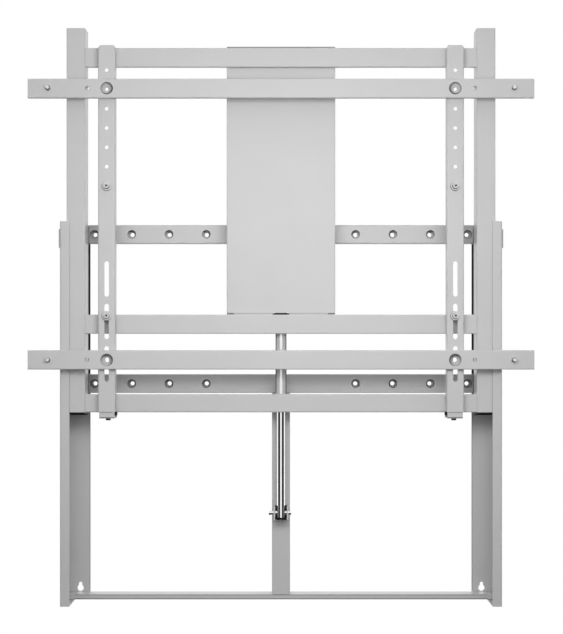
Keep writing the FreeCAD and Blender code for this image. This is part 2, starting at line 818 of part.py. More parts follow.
def cover_bracket():
    """A folded bracket on the middle crossbar: it closes the cover's foot round the tube."""
    body = new_body("cover_bracket")
    half = S.cover_width / 2 - S.cover_sheet
    wall = S.bracket_sheet
    front = -crossbar_back
    back = post_front - S.bracket_gap
    top = middle_crossbar_top + S.cover_foot_gap
    flange_foot = middle_crossbar_top - S.bracket_flange
    profile = new_sketch(body, "profile", "YZ_Plane", -half)
    outline(
        profile,
        [
            (front, flange_foot),
            (front + wall, flange_foot),
            (front + wall, top - wall),
            (back, top - wall),
            (back, top),
            (front, top),
        ],
    )
    pad(body, profile, 2 * half)
    notch = new_sketch(body, "notch", "XY_Plane", top)
    slot_half = S.outer_tube / 2 + S.bracket_notch_gap
    rectangle(notch, -slot_half, front, slot_half, back)
    pocket(body, notch, S.cover_foot_gap)
    return body


def outer_tube():
    """The drive's outer tube, which moves with the lift frame."""
    body = new_body("drive_outer_tube")
    bore, radius = S.outer_tube_bore / 2, S.outer_tube / 2
    profile = new_sketch(body, "profile", "XZ_Plane")
    rectangle(profile, bore, ZERO, radius, S.outer_tube_length)
    revolve(body, profile, "V_Axis")
    place(body, ZERO, -S.drive_depth, outer_tube_foot)
    return body


def wiper_ring():
    """The plastic ring in the tube's foot that the rod runs through."""
    body = new_body("wiper_ring")
    bore, radius = S.lift_rod / 2 + S.glide_gap, S.outer_tube_bore / 2
    profile = new_sketch(body, "profile", "XZ_Plane")
    rectangle(profile, bore, ZERO, radius, S.wiper_height)
    revolve(body, profile, "V_Axis")
    place(body, ZERO, -S.drive_depth, outer_tube_foot)
    return body


def gearbox():
    """The gear housing on top of the tube, with the motor beside it and a lug above."""
    body = new_body("drive_gearbox")
    left = -S.outer_tube / 2 - 10
    right = left + S.gearbox_width
    front = -S.drive_depth - S.outer_tube / 2 - 5
    back = front + S.gearbox_depth
    low = gearbox_foot
    profile = new_sketch(body, "profile", "XY_Plane", low)
    rectangle(profile, left, front, right, back, size(8))
    pad(body, profile, S.gearbox_height)
    high = low + S.gearbox_height
    half = S.lug_width / 2
    lug = new_sketch(body, "lug", "YZ_Plane", -half)
    eye = S.pin_diameter
    outline(
        lug,
        [
            (-S.drive_depth - eye, high),
            (eye - S.drive_depth, high),
            (eye - S.drive_depth, hanger_pin_z + eye, eye * 0.9),
            (-S.drive_depth - eye, hanger_pin_z + eye, eye * 0.9),
        ],
    )
    pad(body, lug, S.lug_width)
    bore = new_sketch(body, "bore", "YZ_Plane", half)
    circle(bore, -S.drive_depth, hanger_pin_z, S.pin_diameter)
    pocket(body, bore, S.lug_width)
    return body


def motor():
    """The motor, which hangs from the gearbox beside the tube."""
    return turned(
        "drive_motor",
        S.motor_offset,
        -S.drive_depth,
        gearbox_foot,
        [
            (-S.motor_length - 6, S.motor_diameter / 5),
            (-S.motor_length, S.motor_diameter / 5),
            (ZERO, S.motor_diameter / 2),
        ],
        "Z",
    )


def hanger():
    """The channel behind the upper crossbar that the drive hangs from."""
    body = new_body("drive_hanger")
    half, ear = S.hanger_width / 2, S.hanger_ear
    front = -crossbar_back + S.cover_sheet
    back = S.pin_diameter * 1.2 - S.drive_depth
    profile = new_sketch(body, "profile", "XY_Plane", hanger_pin_z - S.hanger_height / 2)
    outline(
        profile,
        [
            (-half, front, ear),
            (half, front, ear),
            (half, back),
            (half - ear, back),
            (half - ear, front + ear),
            (ear - half, front + ear),
            (ear - half, back),
            (-half, back),
        ],
    )
    pad(body, profile, S.hanger_height)
    bore = new_sketch(body, "bore", "YZ_Plane", half)
    circle(bore, -S.drive_depth, hanger_pin_z, S.pin_diameter)
    pocket(body, bore, S.hanger_width)
    return body


def hanger_pin():
    """The pin that holds the gearbox lug in the hanger."""
    half = S.hanger_width / 2
    pin, head = S.pin_diameter / 2, S.pin_head / 2
    return turned(
        "hanger_pin",
        ZERO,
        -S.drive_depth,
        hanger_pin_z,
        [(-half, pin), (half, pin), (half + S.pin_end, head)],
        "X",
    )


def controller():
    """The controller of the drive, fixed inside the cover."""
    body = new_body("controller")
    front = -crossbar_back + S.cover_sheet
    half = S.controller_width / 2
    profile = new_sketch(
        body, "profile", "XY_Plane", lift_z + S.controller_rise - S.controller_height / 2
    )
    centre = -S.controller_offset
    rectangle(
        profile, centre - half, front, centre + half, front + S.controller_depth, size(4)
    )
    pad(body, profile, S.controller_height)
    return body


# Screen arms and rails


def arm(name, side):
    """A folded arm: a channel with its open side to the wall, holed and slotted."""
    body = new_body(f"arm_{name}")
    centre, half = side * arm_x, S.arm_width / 2
    wall, bend = S.arm_sheet, S.arm_bend
    profile = new_sketch(body, "profile", "XY_Plane", arm_foot)
    outline(
        profile,
        [
            (centre - half, -column_front),
            (centre - half, -arm_front, bend),
            (centre + half, -arm_front, bend),
            (centre + half, -column_front),
            (centre + half - wall, -column_front),
            (centre + half - wall, wall - arm_front, bend - wall),
            (centre - half + wall, wall - arm_front, bend - wall),
            (centre - half + wall, -column_front),
        ],
    )
    pad(body, profile, arm_head - arm_foot)
    top_hole = upper_rail_z + S.arm_hole_pitch
    run = S.arm_hole_pitch * (S.arm_holes - 1)
    hole = new_sketch(body, "screw_hole", "XZ_Plane", arm_front)
    circle(hole, centre, top_hole - run, S.arm_hole)
    cut = pocket(body, hole, wall)
    row_of(body, [cut], "Z_Axis", run, S.arm_holes)
    slots = new_sketch(body, "slot", "XZ_Plane", arm_front)
    slot_run = S.arm_slot_pitch * (S.arm_slots - 1)
    middle = arm_foot + S.arm_slot_rise - slot_run
    half_run = S.arm_slot_run / 2
    upright_slot(slots, centre, middle - half_run, middle + half_run, S.arm_slot_width)
    cut = pocket(body, slots, wall)
    row_of(body, [cut], "Z_Axis", slot_run, S.arm_slots)
    for sign in (-1, 1):
        corner = new_sketch(body, f"corner_{'ab'[sign > 0]}", "XZ_Plane", arm_front)
        edge = centre + sign * half
        outline(
            corner,
            [
                (edge, arm_head),
                (edge, arm_head - S.arm_head_cut),
                (edge - sign * S.arm_head_cut, arm_head),
            ],
        )
        pocket(body, corner, S.arm_depth)
    return body


def hook(name, side):
    """The hook inside the arm's head that hangs over the upper crossbar."""
    body = new_body(f"arm_hook_{name}")
    centre = side * arm_x
    half = S.arm_width / 2 - S.arm_head_cut
    plate = S.hook_thickness
    front = S.arm_sheet - arm_front
    tongue = S.hook_gap - crossbar_back
    top = upper_crossbar_top + plate
    profile = new_sketch(body, "profile", "YZ_Plane", centre - half)
    outline(
        profile,
        [
            (front, upper_crossbar_top - S.crossbar_height),
            (front + plate, upper_crossbar_top - S.crossbar_height),
            (front + plate, upper_crossbar_top),
            (tongue, upper_crossbar_top),
            (tongue, upper_crossbar_top - S.hook_reach),
            (tongue + plate, upper_crossbar_top - S.hook_reach),
            (tongue + plate, top),
            (front, top),
        ],
    )
    pad(body, profile, 2 * half)
    return body


def clamp(name, side):
    """The bracket inside the arm's foot that reaches under the lower crossbar."""
    body = new_body(f"arm_clamp_{name}")
    centre = side * arm_x
    half = S.arm_width / 2 - S.arm_sheet
    plate, bend = S.clamp_sheet, S.clamp_bend
    front = S.arm_bend - arm_front
    low = arm_foot - S.clamp_drop
    shelf = front + S.clamp_run
    back = S.hook_gap + plate - crossbar_back
    profile = new_sketch(body, "profile", "YZ_Plane", centre - half)
    outline(
        profile,
        [
            (front, low, bend),
            (shelf, low),
            (shelf, low + plate),
            (front + plate, low + plate, bend - plate),
            (front + plate, low + S.clamp_height),
            (front, low + S.clamp_height),
        ],
    )
    pad(body, profile, 2 * half)
    tongue_half = half - S.clamp_tongue_inset
    tongue = new_sketch(body, "tongue", "YZ_Plane", centre - tongue_half)
    rectangle(tongue, back - plate, low + plate, back, lift_z + S.clamp_lip)
    pad(body, tongue, 2 * tongue_half)
    bore = new_sketch(body, "bore", "XY_Plane", low + plate)
    circle(bore, centre, S.crossbar_depth / 2 - column_front, S.clamp_screw)
    pocket(body, bore, plate)
    return body


def clamp_block(name, side):
    """The black block that the clamp screw presses against the foot of the crossbar."""
    body = new_body(f"clamp_block_{name}")
    centre = side * arm_x
    half = S.arm_width / 2 - S.arm_sheet - S.clamp_block_inset
    front = S.arm_bend - arm_front + S.clamp_sheet + S.clamp_block_front
    back = S.hook_gap - crossbar_back
    low = arm_foot - S.clamp_drop + S.clamp_sheet
    profile = new_sketch(body, "profile", "YZ_Plane", centre - half)
    rectangle(profile, front, low, back, lift_z)
    pad(body, profile, 2 * half)
    return body


def clamp_screw(name, side):
    """The screw under the clamp bracket that presses on the lower crossbar."""
    low = arm_foot - S.clamp_drop
    return turned(
        f"clamp_screw_{name}",
        side * arm_x,
        S.crossbar_depth / 2 - column_front,
        low,
        [
            (-S.clamp_head_height, S.clamp_screw_head / 2),
            (ZERO, S.clamp_screw_head / 2),
            (S.clamp_sheet, S.clamp_screw / 2),
        ],
        "Z",
    )


def rail(name, centre_z):
    """A level tube across the arms, with access holes over them and holes for the screen."""
    body = new_body(f"rail_{name}")
    half, wall = S.rail_height / 2, S.rail_wall
    corner = S.tube_corner
    profile = new_sketch(body, "profile", "YZ_Plane", -S.rail_length / 2)
    rectangle(profile, -rail_front, centre_z - half, -arm_front, centre_z + half, corner)
    rectangle(
        profile,
        wall - rail_front,
        centre_z - half + wall,
        -arm_front - wall,
        centre_z + half - wall,
    )
    pad(body, profile, S.rail_length)
    front = new_sketch(body, "access", "XZ_Plane", rail_front)
    through = new_sketch(body, "through", "XZ_Plane", rail_front)
    for sign in (-1, 1):
        circle(front, sign * (S.rail_access_span / 2), centre_z, S.rail_access_hole)
        circle(through, sign * (S.rail_screen_span / 2), centre_z, S.rail_screen_hole)
        circle(through, sign * (S.stud_span / 2), centre_z, S.screw_diameter)
    pocket(body, front, wall)
    pocket(body, through, S.rail_depth)
    rear = new_sketch(body, "fixing", "XZ_Plane", arm_front)
    for sign in (-1, 1):
        circle(rear, sign * (S.rail_access_span / 2), centre_z, S.rail_fixing_hole)
    pocket(body, rear, wall, reverse=True)
    return body


def screen_screws(name, centre_z):
    """The two screws of a rail: head behind it, collar and thread towards the screen."""
    thread, collar = S.screw_diameter / 2, S.stud_collar / 2
    screws = []
    for side_name, side in LEFT_AND_RIGHT:
        screws.append(
            turned(
                f"screen_screw_{name}_{side_name}",
                side * (S.stud_span / 2),
                -arm_front,
                centre_z,
                [
                    (-S.rail_depth - S.stud_stand, thread),
                    (-S.rail_depth - S.stud_collar_height, thread),
                    (-S.rail_depth, collar),
                    (ZERO, thread),
                    (S.screw_head_height, S.screw_head / 2),
                ],
                "Y",
            )
        )
    return group(f"screen_screws_{name}", screws)


def arm_screws():
    """Two socket head screws in each arm over wide washers, the lower in the middle slot."""
    low = arm_foot + S.low_screw_rise
    high = upper_rail_z - S.arm_hole_pitch * (S.arm_holes - 2)
    screws = []
    for side_name, side in LEFT_AND_RIGHT:
        for level, z in (("lower", low), ("upper", high)):
            screw = turned(
                f"arm_screw_{level}_{side_name}",
                side * arm_x,
                -arm_front,
                z,
                [
                    (-S.arm_washer_height - S.arm_screw_head_height, S.arm_screw_head / 2),
                    (-S.arm_washer_height, S.arm_screw_head / 2),
                    (ZERO, S.arm_washer / 2),
                    (S.arm_screw_run, S.screw_diameter / 2),
                ],
                "Y",
            )
            head_front = S.arm_washer_height + S.arm_screw_head_height
            socket = new_sketch(screw, "socket", "XZ_Plane", head_front)
            hexagon(socket, ZERO, ZERO, S.arm_screw_socket)
            pocket(screw, socket, S.arm_socket_depth)
            screws.append(screw)
    group("arm_screws", screws)


def build():
    for name, side in LEFT_AND_RIGHT:
        upright(name, side)
        upper_glide(name, side)
        column(name, side)
        lower_glide(name, side)
        arm(name, side)
        hook(name, side)
        clamp(name, side)
        clamp_block(name, side)
        clamp_screw(name, side)
    wall_bar("upper", S.wall_bolt_rise / 2)
    wall_bar("lower", -S.wall_bolt_rise / 2)
    bottom_bar()
    centre_post()
    rod_clevis()
    rod_pin()
    lift_rod()
    crossbar("upper", upper_crossbar_top, S.crossbar_height)
    crossbar("middle", middle_crossbar_top, S.crossbar_height)
    crossbar("lower", lower_crossbar_top, S.lower_crossbar_height)
    drive_cover()
    cover_bracket()
    outer_tube()
    wiper_ring()
    gearbox()
    motor()
    hanger()
    hanger_pin()
    controller()
    for name, centre_z in (("upper", upper_rail_z), ("lower", upper_rail_z - S.rail_spacing)):
        rail(name, centre_z)
        screen_screws(name, centre_z)
    arm_screws()
    doc.recompute()


def check():
    """Stop with a plain message if any object failed or any cut removed nothing."""
    for item in doc.Objects:
        if "Invalid" in item.State or "Error" in item.State:
            raise RuntimeError(f"{item.Label} failed to build: {item.State}")
        if item.TypeId == "PartDesign::Pocket":
            before = item.BaseFeature.Shape.Volume
            if item.Shape.Volume > before - 1e-6:
                raise RuntimeError(f"{item.Label} cuts nothing")
    for label, item in nodes.items():
        if item.Shape.isNull() or not item.Shape.isValid():
            raise RuntimeError(f"{label} has no valid shape")


def write():
    os.makedirs("parts", exist_ok=True)
    for label, item in nodes.items():
        item.Shape.exportStep(f"parts/{label}.step")
        print(f"{label:26s} solids {len(item.Shape.Solids)}  volume {item.Shape.Volume:11.0f}")


build()
check()
write()
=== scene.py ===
import math

import bmesh
import bpy
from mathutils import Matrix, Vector


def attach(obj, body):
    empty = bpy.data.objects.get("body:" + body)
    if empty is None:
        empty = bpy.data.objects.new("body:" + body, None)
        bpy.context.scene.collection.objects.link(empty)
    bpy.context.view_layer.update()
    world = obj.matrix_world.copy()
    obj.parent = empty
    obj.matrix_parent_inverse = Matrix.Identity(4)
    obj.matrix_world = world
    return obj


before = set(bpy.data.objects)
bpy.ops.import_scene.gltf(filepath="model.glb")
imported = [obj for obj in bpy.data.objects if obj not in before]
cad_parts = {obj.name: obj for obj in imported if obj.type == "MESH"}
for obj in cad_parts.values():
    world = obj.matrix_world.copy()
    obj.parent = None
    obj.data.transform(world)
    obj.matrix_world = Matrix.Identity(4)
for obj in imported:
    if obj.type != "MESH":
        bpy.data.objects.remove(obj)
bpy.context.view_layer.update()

# Names of the two sides as the viewer sees them, and their sign along X
SIDES = (("left", -1), ("right", 1))

# Millimetres in a metre: the small pieces are given in millimetres, all else in metres
MM = 1000.0

# Greys are given from 0 to 1 on the screen's scale
PAINT_GREY = 0.76


def linear(grey):
    """A screen grey as the linear value that a shader takes."""
    if grey <= 0.04045:
        return grey / 12.92
    return ((grey + 0.055) / 1.055) ** 2.4


def colour(grey):
    return (linear(grey), linear(grey), linear(grey), 1.0)


# Node material helpers


def add(tree, kind, **values):
    node = tree.nodes.new(kind)
    for key, value in values.items():
        setattr(node, key, value)
    return node


def new_material(name):
    """A material with its node tree, its shader and the object's own coordinates."""
    material = bpy.data.materials.new(name)
    material.use_nodes = True
    tree = material.node_tree
    place = add(tree, "ShaderNodeTexCoord").outputs["Object"]
    return material, tree, tree.nodes["Principled BSDF"], place


def noise(tree, vector, scale, detail):
    node = add(tree, "ShaderNodeTexNoise")
    node.inputs["Scale"].default_value = scale
    node.inputs["Detail"].default_value = detail
    node.inputs["Roughness"].default_value = 0.5
    tree.links.new(vector, node.inputs["Vector"])
    return node.outputs["Fac"]


def ramp(tree, value, low, high, from_low=0.3, from_high=0.7):
    """Spreads a value over the range from low to high, clamped at both ends."""
    node = add(tree, "ShaderNodeMapRange")
    node.inputs["From Min"].default_value = from_low
    node.inputs["From Max"].default_value = from_high
    node.inputs["To Min"].default_value = low
    node.inputs["To Max"].default_value = high
    tree.links.new(value, node.inputs["Value"])
    return node.outputs["Result"]


def mix(tree, factor, first, second):
    """Mixes two colours, of which the first may be another node's output."""
    node = add(tree, "ShaderNodeMix", data_type="RGBA")
    tree.links.new(factor, node.inputs["Factor"])
    if hasattr(first, "is_output"):
        tree.links.new(first, node.inputs[6])
    else:
        node.inputs[6].default_value = first
    node.inputs[7].default_value = second
    return node.outputs[2]


def finish_surface(tree, shader, base, pattern, roughness, strength, distance):
    """Links the base colour, and a roughness and a bump that both follow one pattern."""
    tree.links.new(base, shader.inputs["Base Color"])
    tree.links.new(ramp(tree, pattern, *roughness), shader.inputs["Roughness"])
    bump = add(tree, "ShaderNodeBump")
    bump.inputs["Strength"].default_value = strength
    bump.inputs["Distance"].default_value = distance
    tree.links.new(pattern, bump.inputs["Height"])
    tree.links.new(bump.outputs["Normal"], shader.inputs["Normal"])


def powder_coat(name, grey, roughness=0.33):
    """Silver-grey powder coat: fine texture, faint mottling and a satin sheen."""
    speckle, glint = 0.012, 0.05
    material, tree, shader, place = new_material(name)
    cloud = noise(tree, place, 9.0, 3.0)
    grain = noise(tree, place, 900.0, 2.0)
    mottled = mix(
        tree,
        ramp(tree, cloud, 0.0, 1.0),
        colour(grey - speckle / 2),
        colour(grey + speckle / 2),
    )
    base = mix(tree, ramp(tree, grain, 0.0, 0.35, 0.45, 0.75), mottled, colour(grey + glint))
    finish_surface(
        tree, shader, base, grain, (roughness - 0.05, roughness + 0.07), 0.12, 0.0002
    )
    return material


def bare_metal(name, grey, roughness, streak=(1.0, 1.0, 60.0), metallic=1.0):
    """Turned or drawn metal: fine lines across or along the piece, and small stains."""
    material, tree, shader, place = new_material(name)
    stretch = add(tree, "ShaderNodeMapping")
    stretch.inputs["Scale"].default_value = streak
    tree.links.new(place, stretch.inputs["Vector"])
    lines = noise(tree, stretch.outputs["Vector"], 40.0, 3.0)
    stains = noise(tree, place, 25.0, 3.0)
    base = mix(
        tree, ramp(tree, stains, 0.0, 1.0), colour(grey - 0.03), colour(grey + 0.02)
    )
    shader.inputs["Metallic"].default_value = metallic
    finish_surface(
        tree, shader, base, lines, (roughness * 0.8, roughness * 1.25), 0.05, 0.0001
    )
    return material


def moulded_and_shade(name, grey, roughness):
    """Moulded plastic or rubber, and the flat greys and black of painted shade: a fine eroded
    texture.
    """
    material, tree, shader, place = new_material(name)
    grain = noise(tree, place, 600.0, 2.0)
    cloud = noise(tree, place, 20.0, 2.0)
    base = mix(tree, ramp(tree, cloud, 0.0, 1.0), colour(grey), colour(grey + 0.02))
    finish_surface(
        tree, shader, base, grain, (roughness - 0.06, roughness + 0.06), 0.15, 0.0002
    )
    return material


# Materials of the CAD's own pieces

LONG_LINES = (60.0, 60.0, 1.0)
paint = powder_coat("silver_grey_paint", PAINT_GREY)
zinc = bare_metal("zinc_plated_steel", 0.86, 0.3)
screw_grey = powder_coat("screw_grey", 0.79, roughness=0.45)
screw_tip = bare_metal("screw_tip", 0.93, 0.4, metallic=0.3)
chrome = bare_metal("hard_chrome", 0.97, 0.06, streak=LONG_LINES)
anodised = bare_metal("anodised_tube", 0.95, 0.16, streak=LONG_LINES, metallic=0.45)
cast = powder_coat("cast_housing", 0.62, roughness=0.5)
black_screw = moulded_and_shade("black_screw", 0.12, 0.4)
grey_plastic = moulded_and_shade("grey_glide_plastic", PAINT_GREY - 0.02, 0.5)
black_plastic = moulded_and_shade("black_plastic", 0.09, 0.5)

# Each material with the nodes that wear it, single ones first and then pairs
LOOKS = (
    (
        paint,
        (
            "wall_bar_upper", "wall_bar_lower", "bottom_bar", "centre_post", "rod_clevis",
            "crossbar_upper", "crossbar_middle", "crossbar_lower",
            "drive_cover", "cover_bracket", "drive_hanger", "rail_upper", "rail_lower",
        ),
        ("upright", "column", "arm", "arm_hook", "arm_clamp"),
    ),
    (zinc, ("hanger_pin",), ()),
    (screw_tip, ("screen_screws_upper", "screen_screws_lower"), ()),
    (screw_grey, ("arm_screws",), ()),
    (chrome, ("lift_rod", "rod_pin"), ()),
    (anodised, ("drive_outer_tube",), ()),
    (cast, ("drive_gearbox",), ()),
    (black_screw, (), ("clamp_screw",)),
    (grey_plastic, (), ("upper_glide", "lower_glide")),
    (black_plastic, ("wiper_ring", "controller", "drive_motor"), ("clamp_block",)),
)
for material, single, paired in LOOKS:
    pairs = [f"{name}_{side_name}" for name in paired for side_name, _ in SIDES]
    for name in [*single, *pairs]:
        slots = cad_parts[name].data.materials
        slots.clear()
        slots.append(material)


# Helpers for the small pieces that the solids leave to this script

RING_SIDES = 48


def finish_piece(name, mesh, material, body):
    mesh.materials.append(material)
    thing = bpy.data.objects.new(name, mesh)
    bpy.context.scene.collection.objects.link(thing)
    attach(thing, body)
    return thing


def block(name, across, depth, height, material, body, round_off=0.4):
    """A box with its edges rounded off, from its ranges along X, Y and Z."""
    mesh = bpy.data.meshes.new(name)
    work = bmesh.new()
    bmesh.ops.create_cube(work, size=1.0)
    for vertex in work.verts:
        for axis, (low, high) in enumerate((across, depth, height)):
            middle = (low + high) / (2 * MM)
            vertex.co[axis] = middle + vertex.co[axis] * (high - low) / MM
    bmesh.ops.bevel(
        work, geom=work.edges[:], offset=round_off / MM, segments=2, affect="EDGES"
    )
    work.to_mesh(mesh)
    work.free()
    return finish_piece(name, mesh, material, body)


def paired_blocks(*rows):
    """Blocks on both sides, whose X range is given as distances from the middle."""
    made = []
    for side_name, side in SIDES:
        for name, across, *rest in rows:
            across = sorted(side * distance for distance in across)
            made.append(block(f"{name}_{side_name}", across, *rest))
    return made


def rings(name, centres, outer, inner, length, material, body, offset=(0, 0)):
    """Flat rings of diameters outer and inner, from each centre along Y. The offset in X
    and Z moves the outer circle, so that the ring is wider on one side."""
    mesh = bpy.data.meshes.new(name)
    work = bmesh.new()
    for x, y, z in centres:
        loops = []
        for along, diameter, (shift_x, shift_z) in (
            (0, inner, (0, 0)),
            (0, outer, offset),
            (length, outer, offset),
            (length, inner, (0, 0)),
        ):
            loop = []
            for i in range(RING_SIDES):
                angle = 2 * math.pi * i / RING_SIDES
                place = (
                    x + (diameter / 2 * math.sin(angle) + shift_x),
                    y + along,
                    z + (diameter / 2 * math.cos(angle) + shift_z),
                )
                loop.append(work.verts.new([value / MM for value in place]))
            loops.append(loop)
        for first, second in zip(loops, loops[1:] + loops[:1]):
            for i in range(RING_SIDES):
                j = (i + 1) % RING_SIDES
                work.faces.new((first[i], first[j], second[j], second[i]))
    bmesh.ops.recalc_face_normals(work, faces=work.faces[:])
    work.to_mesh(mesh)
    work.free()
    return finish_piece(name, mesh, material, body)


# Flat greys and black for the small pieces below. Most of them are painted shade, put where shade
# falls in holes, under edges and between parts; the darker the grey, the deeper the shade it
# stands for
flat_black = moulded_and_shade("plain_black", 0.04, 0.7)
painted_shade_grey = moulded_and_shade("painted_shade_grey", 0.30, 0.6)
painted_deep_shade = moulded_and_shade("painted_deep_shade", 0.14, 0.6)
ring_shade = moulded_and_shade("painted_ring_shade", 0.34, 0.7)
shade_line = moulded_and_shade("painted_shade_line", 0.42, 0.6)
brush = moulded_and_shade("brush_strip", 0.16, 0.8)

# Painted shade: a black sheet behind the notch in the cover's foot bracket, so that the notch
# looks dark
block("notch_shade", (-26, 26), (-97.9, -96.4), (-48, -12.9), flat_black, "lift_frame", 0.3)

# Painted shade: black sheets in the rod clevis, behind the rod's axis, and under the rod's end,
# where the clevis lies in deep shade. They stay out of reflections, so that the chrome beside
# them keeps its streaks.
clevis_shades = paired_blocks(
    ("clevis_liner", (11.2, 15.3), (-69, -49), (-555, -522), flat_black, "wall_frame")
)
clevis_shades.append(
    block("clevis_foot_shade", (-15.2, 15.2), (-88, -49), (-556, -551.4), flat_black, "wall_frame")
)
for piece in clevis_shades:
    piece.visible_glossy = False

# Black blocks behind the clamp blocks, and black blocks beside the clamps
paired_blocks(
    ("clamp_pad", (432.2, 470.4), (-99.4, -84.5), (-284.4, -272.2), flat_black, "screen_carrier"),
    ("clamp_bumper", (426.2, 431.0), (-131, -115.6), (-279.3, -269.9), flat_black, "screen_carrier"),
)

# Painted shade: grey rings in the access holes of the rails and in the holes in the front of
# the wall bars, wider on one side where the rims shade the holes, and darker in the lower wall
# bar, which lies in deeper shade
for name, height, rise in (("upper", 565.5, 0.8), ("lower", -134.5, -1.3)):
    for side_name, side in SIDES:
        rings(
            f"access_hole_shade_{name}_{side_name}",
            [(side * 450.2, -154.9, height + rise)],
            outer=31.6, inner=27.8, length=1.8,
            material=painted_shade_grey, body="screen_carrier", offset=(-1.2 * side, -rise),
        )
for name, height, rise, material in (
    ("upper", 200, -0.7, painted_shade_grey),
    ("lower", -200, -0.4, painted_deep_shade),
):
    for side_name, side in SIDES:
        rings(
            f"bar_hole_shade_{name}_{side_name}",
            [(side * (x + 0.7), -24.9, height + rise) for x in (200, 300, 400, 500)],
            outer=22.7, inner=20.2, length=2.2,
            material=material, body="wall_frame", offset=(-0.7 * side, -rise),
        )

# Painted shade: grey rings at the edges of the arm screws' washers and heads, wider on their
# lower side, grey discs in their sockets, and rings round the free ends of the screen screws,
# wider below
ARM_SCREWS = [(x, z) for x in (-451.4, 451.4) for z in (315.5, -20.2)]
STUDS = [(x, z) for x in (-600, 600) for z in (566.0, -134.0)]
for name, places, y, outer, inner, length, offset in (
    ("arm_washer_shades", ARM_SCREWS, -140.9, 25.4, 24.2, 0.8, (-0.5, -0.5)),
    ("arm_head_shades", ARM_SCREWS, -142.8, 16.0, 14.2, 0.7, (-0.4, -0.6)),
    ("arm_socket_shades", ARM_SCREWS, -145.6, 5.6, 0.6, 0.4, (0, 0)),
    ("stud_shades", STUDS, -159.6, 13.0, 8.6, 0.5, (0, -0.6)),
):
    centres = [(x, y, z) for x, z in places]
    rings(name, centres, outer, inner, length, ring_shade, "screen_carrier", offset)

# Painted shade: dark grey lines at the cover's top edge and foot and grey marks at the corners
# of its foot, black strips and grey edges along the back plates of the uprights beside the
# columns, black sheets under the columns' feet, dark grey lines at the folds of the clamps and
# along the bottom bar's lower edge and fold, and black lines painted along the sides of the
# tube, where it looks dark
block("cover_top_shade", (-141.5, 141.5), (-100.7, -100.05), (682.8, 684.6), shade_line, "lift_frame", 0.1)
paired_blocks(
    ("cover_seal", (21.6, 140.5), (-100.6, -100.05), (-13.6, -12.7), shade_line, "lift_frame", 0.1),
    ("cover_tab", (123.0, 141.5), (-101.1, -100.05), (-16.0, -12.2), shade_line, "lift_frame", 0.1),
    ("brush", (513.95, 518.6), (-4.4, -3.05), (-174, 174), brush, "wall_frame", 0.2),
    ("plate_edge", (513.95, 515.0), (-3.8, -3.05), (-757, -226), shade_line, "wall_frame", 0.1),
    ("foot_wiper", (511.2, 559.0), (-110, -61.5), (-277.6, -272.05), flat_black, "lift_frame", 0.2),
    ("foot_seal", (512.0, 558.0), (-60, -27.5), (-282.0, -272.05), flat_black, "lift_frame", 0.2),
    (
        "clamp_fold", (433.0, 470.0), (-136.1, -134.6), (-284.6, -283.4),
        shade_line, "screen_carrier", 0.1,
    ),
    ("tube_cord", (12.6, 14.2), (-84.6, -83.2), (-252, 540), flat_black, "lift_frame", 0.1),
)
for name, height in (("edge", (-772.8, -771.3)), ("fold", (-762.5, -761.5))):
    block(f"bottom_bar_{name}", (-550, 550), (-45.0, -44.55), height, shade_line, "wall_frame", 0.1)


# Camera at the photograph's view: the picture's size, focal length and principal point in
# pixels, the sensor in millimetres and the viewer's place in metres

PHOTO_WIDTH, PHOTO_HEIGHT = 563.0, 634.0
FOCAL_LENGTH = 1275.0
CENTRE_ACROSS, CENTRE_DOWN = 281.0, 342.0
SENSOR_WIDTH = 36.0
VIEWER = (0.0, -3.44, -0.0885)

camera_data = bpy.data.cameras.new("camera")
camera_data.sensor_width = SENSOR_WIDTH
camera_data.lens = FOCAL_LENGTH / PHOTO_HEIGHT * SENSOR_WIDTH
camera_data.shift_x = (PHOTO_WIDTH / 2 - CENTRE_ACROSS) / PHOTO_HEIGHT
camera_data.shift_y = (CENTRE_DOWN - PHOTO_HEIGHT / 2) / PHOTO_HEIGHT
camera_data.clip_start = 0.1
camera_data.clip_end = 60.0
camera = bpy.data.objects.new("camera", camera_data)
bpy.context.scene.collection.objects.link(camera)
camera.location = VIEWER
camera.rotation_euler = (math.radians(90.0), 0.0, 0.0)
bpy.context.scene.camera = camera


# Floor, reflection cards and light

FLOOR_Z = -0.95
FLOOR_FRONT, FLOOR_BACK = -6.0, 0.30
FLOOR_HALF = 4.0
FLOOR_GLOW, FLOOR_GREY = 0.68, 0.72
CARD_GREY = 0.20
CARD_RADIUS = 2.6
CARD_HEAD = 2.6
FLOOR_CARD_HALF = 2.4
SKY_ABOVE, SKY_BELOW = 0.60, 0.12
MIRRORED_BACKDROP = 1.3


def empty_material(name):
    material = bpy.data.materials.new(name)
    material.use_nodes = True
    material.node_tree.nodes.clear()
    return material, material.node_tree


def either(tree, first, second):
    """The larger of two light path flags."""
    node = add(tree, "ShaderNodeMath", operation="MAXIMUM")
    tree.links.new(first, node.inputs[0])
    tree.links.new(second, node.inputs[1])
    return node.outputs[0]


def switch(tree, flag, off, on):
    """The shader named on where the flag is 1, and the one named off where it is 0."""
    node = add(tree, "ShaderNodeMixShader")
    tree.links.new(flag, node.inputs["Fac"])
    tree.links.new(off, node.inputs[1])
    tree.links.new(on, node.inputs[2])
    return node.outputs[0]


